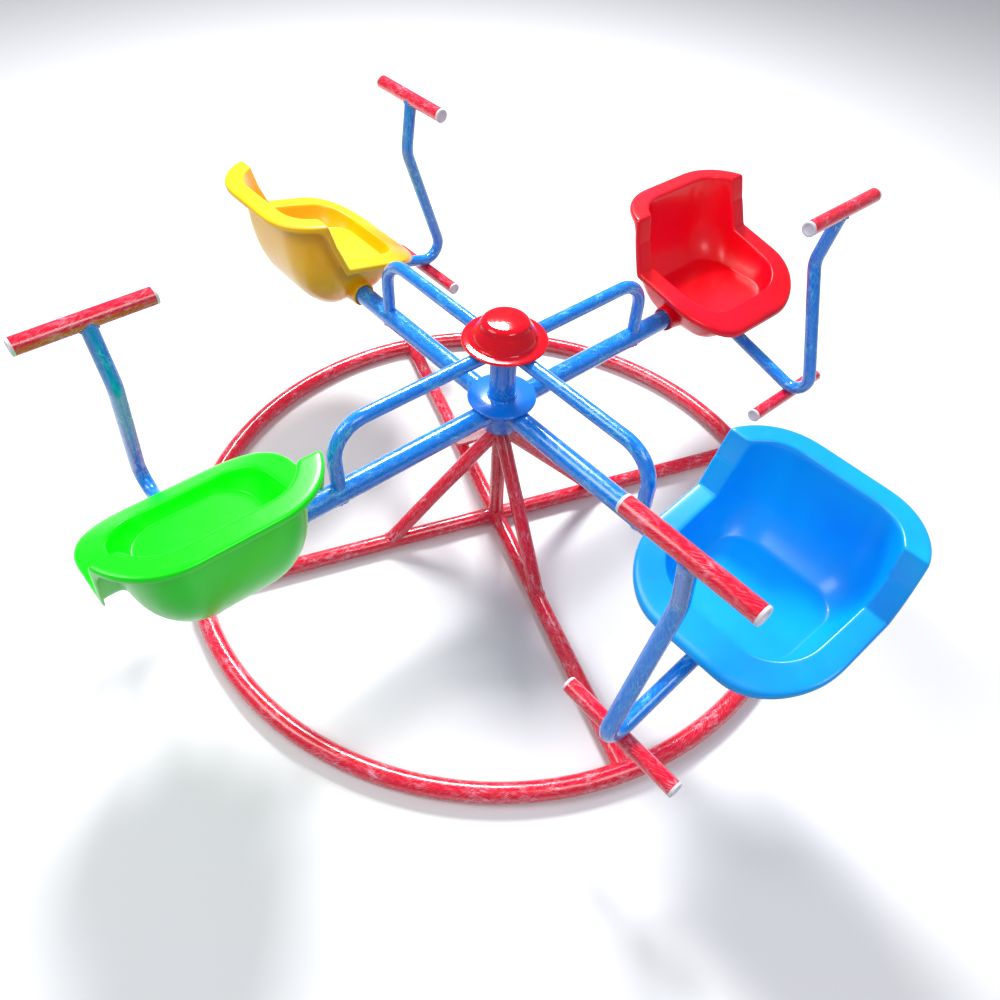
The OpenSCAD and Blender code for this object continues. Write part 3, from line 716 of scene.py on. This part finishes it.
def outline(corners, inset):
    """Half of a rounded outline, from the middle of the front to the middle of the back."""
    (front_x, front_y, front_r), (back_x, back_y, back_r) = corners
    front_r, back_r = front_r - inset, back_r - inset
    half = [(front_x * i / 6, front_y + front_r) for i in range(6)]
    for i in range(13):
        angle = math.pi / 2 * (1 - i / 12)
        half.append((front_x + front_r * math.cos(angle), front_y + front_r * math.sin(angle)))
    on_rim = corners is RIM_CORNERS
    for i, place in enumerate(SIDE_PLACES):
        share = (i + 1) / len(SIDE_PLACES)
        y = place if on_rim else front_y + (back_y - front_y) * share
        half.append((back_x + back_r, y))
    for i, place in enumerate(STEP_PLACES):
        angle = math.asin((place - back_y) / back_r) if on_rim else -STEP_TURN * (i + 1) / len(STEP_PLACES)
        half.append((back_x + back_r * math.cos(angle), back_y + back_r * math.sin(angle)))
    start = math.asin((STEP_PLACES[-1] - back_y) / back_r) if on_rim else -STEP_TURN
    for i in range(1, 13):
        angle = start + (-math.pi / 2 - start) * i / 12
        half.append((back_x + back_r * math.cos(angle), back_y + back_r * math.sin(angle)))
    half += [(back_x * (1 - i / 6), back_y - back_r) for i in range(1, 7)]
    return [Vector(point) for point in half]


def rim_height(ahead, drop=0.0):
    """Side view of the rim, or of a line that lies a drop below it: level behind, two facets down
    the step, and a long fall to the front lip."""
    crease = BACK_RIM - 0.45 * (BACK_RIM - SIDE_RIM)
    line = [(-1.0, BACK_RIM - drop), (STEP_START - 0.7 * drop, BACK_RIM - drop), (STEP_CREASE - drop, crease),
            (STEP_END - 0.8 * drop, SIDE_RIM - drop), (SEAT_FRONT / 3, MIDDLE_RIM - drop)]
    line += [(y, height - drop) for y, height in LIP_ROLL]
    line += [(SEAT_FRONT, LIP_RIM - drop), (1.0, LIP_RIM - drop)]
    total = 0.0
    for nudge in (-0.0014, -0.0007, 0.0, 0.0007, 0.0014):
        y = ahead + nudge
        low, high = next((a, b) for a, b in zip(line, line[1:]) if y <= b[0])
        total += low[1] + (high[1] - low[1]) * (y - low[0]) / (high[0] - low[0])
    # A fine groove lies across the flange where the two facets meet
    off_crease = (ahead - STEP_CREASE + drop) / GROOVE_WIDTH
    groove = GROOVE_DEPTH * math.exp(-off_crease ** 2) if drop < 0.003 else 0.0
    return total / 5 - groove


def rim_ring(inset, drop):
    """Half ring that follows the rim, drawn in by inset and lowered by drop."""
    return [Vector((p.x, p.y, rim_height(p.y, drop))) for p in outline(RIM_CORNERS, inset)]


def wall_ring(inset, corners, base, share, drop, bulge):
    """Half ring on a wall that runs from the rim, drawn in by inset, down to a lower outline: share
    is 0 at the top and 1 at the base, and the wall stays near the rim's outline until it is low."""
    half = []
    for high, low in zip(outline(RIM_CORNERS, inset), outline(corners, 0.0)):
        top = rim_height(high.y, drop)
        height = top + (base - top) * share
        drawn = (1 - (height - base) / (BACK_RIM - base)) ** bulge
        spot = high.lerp(low, drawn)
        half.append(Vector((spot.x, spot.y, height)))
    return half


def level_ring(corners, inset, height):
    """Half ring at one height."""
    return [Vector((p.x, p.y, height)) for p in outline(corners, inset)]


def between(first, second, share):
    """Half ring at a share of the way from the first to the second."""
    return [a.lerp(b, share) for a, b in zip(first, second)]


def whole(half):
    """Full ring from its right half."""
    return half + [Vector((-p.x, p.y, p.z)) for p in reversed(half[1:-1])]


def seat_rings():
    """The seat's skin as rings: the foot, the outer wall, the underside of the flange, its hanging
    edge, its top, the tub's wall and the tub's floor."""
    rings = [level_ring(FOOT_CORNERS, 0.030, SEAT_BOTTOM), level_ring(FOOT_CORNERS, 0.012, SEAT_BOTTOM),
             level_ring(FOOT_CORNERS, 0.005, SEAT_BOTTOM + 0.002)]
    for share in (1.0, 0.95, 0.88, 0.78, 0.66, 0.52, 0.38, 0.24, 0.11, 0.0):
        rings.append(wall_ring(UNDERSIDE, FOOT_CORNERS, SEAT_BOTTOM + 0.008, share, 0.010, 4.2))
    rings += [rim_ring(UNDERSIDE - 0.004, 0.0052), rim_ring(UNDERSIDE - 0.010, 0.0046)]
    rings += [rim_ring(inset, drop) for inset, drop in (
        (0.0060, 0.0046), (0.0046, 0.0064), (0.0042, 0.0118), (0.0024, 0.0130), (0.0006, 0.0118),
        (0.0, 0.0085), (0.0, 0.0045), (0.0014, 0.0018), (0.0042, 0.0004))]
    outer = rim_ring(0.0095, 0.0)
    brink = wall_ring(FLANGE - 0.003, FLOOR_CORNERS, TUB_FLOOR, 0.0, 0.0, 5.6)
    rings += [outer, between(outer, brink, 0.45), between(outer, brink, 0.85), brink,
              wall_ring(FLANGE - 0.0006, FLOOR_CORNERS, TUB_FLOOR, 0.0, 0.0016, 5.6),
              wall_ring(FLANGE + 0.0008, FLOOR_CORNERS, TUB_FLOOR, 0.0, 0.0050, 5.6)]
    for share in (0.06, 0.16, 0.28, 0.41, 0.54, 0.66, 0.76, 0.84, 0.90, 0.95, 0.985, 1.0):
        rings.append(wall_ring(FLANGE + 0.0012, FLOOR_CORNERS, TUB_FLOOR, share, 0.0080, 5.6))
    rings += [level_ring(FLOOR_CORNERS, 0.010, TUB_FLOOR - 0.0004),
              level_ring(FLOOR_CORNERS, 0.030, TUB_FLOOR - 0.0006)]
    return [whole(half) for half in rings]


def moulded_sleeve():
    """Collar of the same moulding that wraps the arm where it enters the seat's inner wall: its
    outline as (radius, place along the arm)."""
    shape = [(0.0216, -0.080), (0.0216, -0.136), (0.0248, -0.138), (0.0264, -0.1365), (0.0270, -0.133),
             (0.0272, -0.122), (0.0280, -0.112), (0.0300, -0.100), (0.0310, -0.084)]
    sides = 48
    return lofted("sleeve", [[Vector((x, r * math.cos(2 * math.pi * i / sides),
                                      ARM_HEIGHT + r * math.sin(2 * math.pi * i / sides)))
                              for i in range(sides)] for r, x in shape])


bucket = lofted("bucket", seat_rings())
bpy.ops.object.modifier_add(type="SUBSURF")
bucket.modifiers[-1].levels = 1
bucket.modifiers[-1].render_levels = 1
bpy.ops.object.modifier_apply(modifier=bucket.modifiers[-1].name)
seat_model = join_pieces("seat_model", [bucket, moulded_sleeve()])
SEAT_COLOURS = {"red": ("#ff0014", "#f40030"), "yellow": ("#ffcc00", "#ffb400"),
                "green": ("#00f800", "#00e810"), "blue": ("#00acff", "#0094fa")}
for colour, quarter in SEATS.items():
    angle = REST_ANGLE + 90 * quarter
    out, forward = polar(1, angle, 0), polar(1, angle - 90, 0)
    facing = Matrix((out, forward, UP)).transposed().to_4x4()
    piece = own_copy(seat_model, f"bucket_seat_{colour}", Matrix.Translation(SEAT_RADIUS * out) @ facing)
    # The rider's way mirrors the model, which turns its faces inside out
    piece.data.flip_normals()
    seat_plastic = gloss_plastic(f"{colour}_moulded_polyethylene", *SEAT_COLOURS[colour], 0.30)
    place_piece(piece, seat_plastic, "rotor", f"{colour}_seat_plastic", f"seat_{colour}")
bpy.data.objects.remove(seat_model)

# ---- Floor, light and camera ----
# A pale floor and a pale sky, with a strong soft light from above and behind, wider and weaker ones
# from the left and the front, and the camera above the rim, looking down into the hub.
bpy.ops.object.select_all(action="DESELECT")
bpy.ops.mesh.primitive_plane_add(size=14, location=(0, 0, -0.0005))
floor = bpy.context.object
floor.name = "pale_floor"
# Matt floor paint: an even near-white that takes soft shadows and hardly any shine
floor_paint = new_material("pale_matt_floor")
shader = add_node(floor_paint, "ShaderNodeBsdfPrincipled", {
    "Base Color": linear("#f4f4f6"), "Roughness": 0.7})
add_node(floor_paint, "ShaderNodeOutputMaterial", {"Surface": shader.outputs["BSDF"]})
floor.data.materials.append(floor_paint)
# The floor stays out of the bounced light, so the undersides keep their deep colour
floor.visible_diffuse = False

world = bpy.data.worlds.new("pale_sky")
bpy.context.scene.world = world
world.use_nodes = True
world.node_tree.nodes["Background"].inputs["Color"].default_value = linear("#f2f6ff")
world.node_tree.nodes["Background"].inputs["Strength"].default_value = 0.34
for name, place, aim, size, power in (("soft_key", (0.5, 2.0, 2.9), (0, 0, 0.3), 0.8, 150),
                                      ("soft_fill", (-2.2, 0.2, 2.6), (0, 0, 0.3), 1.4, 40),
                                      ("soft_front", (0.6, -2.2, 2.8), (0, 0, 0.3), 1.2, 26)):
    bpy.ops.object.light_add(type="AREA", location=place)
    light = bpy.context.object
    light.name = name
    light.data.size = size
    light.data.energy = power
    light.rotation_euler = (Vector(aim) - Vector(place)).to_track_quat("-Z", "Y").to_euler()

CAMERA_PLACE = Vector((-0.475, -1.118, 1.396))
CAMERA_YAW, CAMERA_PITCH, CAMERA_ROLL = math.radians(24.4), math.radians(49.0), math.radians(4.1)
right = Vector((math.cos(CAMERA_YAW), -math.sin(CAMERA_YAW), 0))
level_ahead = Vector((math.sin(CAMERA_YAW), math.cos(CAMERA_YAW), 0))
ahead = math.cos(CAMERA_PITCH) * level_ahead - math.sin(CAMERA_PITCH) * UP
top = right.cross(ahead)
rolled_right = math.cos(CAMERA_ROLL) * right + math.sin(CAMERA_ROLL) * top
rolled_top = math.cos(CAMERA_ROLL) * top - math.sin(CAMERA_ROLL) * right
bpy.ops.object.camera_add(location=CAMERA_PLACE)
camera = bpy.context.object
camera.rotation_euler = Matrix((rolled_right, rolled_top, -ahead)).transposed().to_euler()
camera.data.lens = 29.1
camera.data.sensor_width = 36
camera.data.shift_x = -0.008
camera.data.shift_y = 0.02
camera.data.clip_start = 0.01
bpy.context.scene.camera = camera
bpy.context.scene.view_settings.view_transform = "Standard"
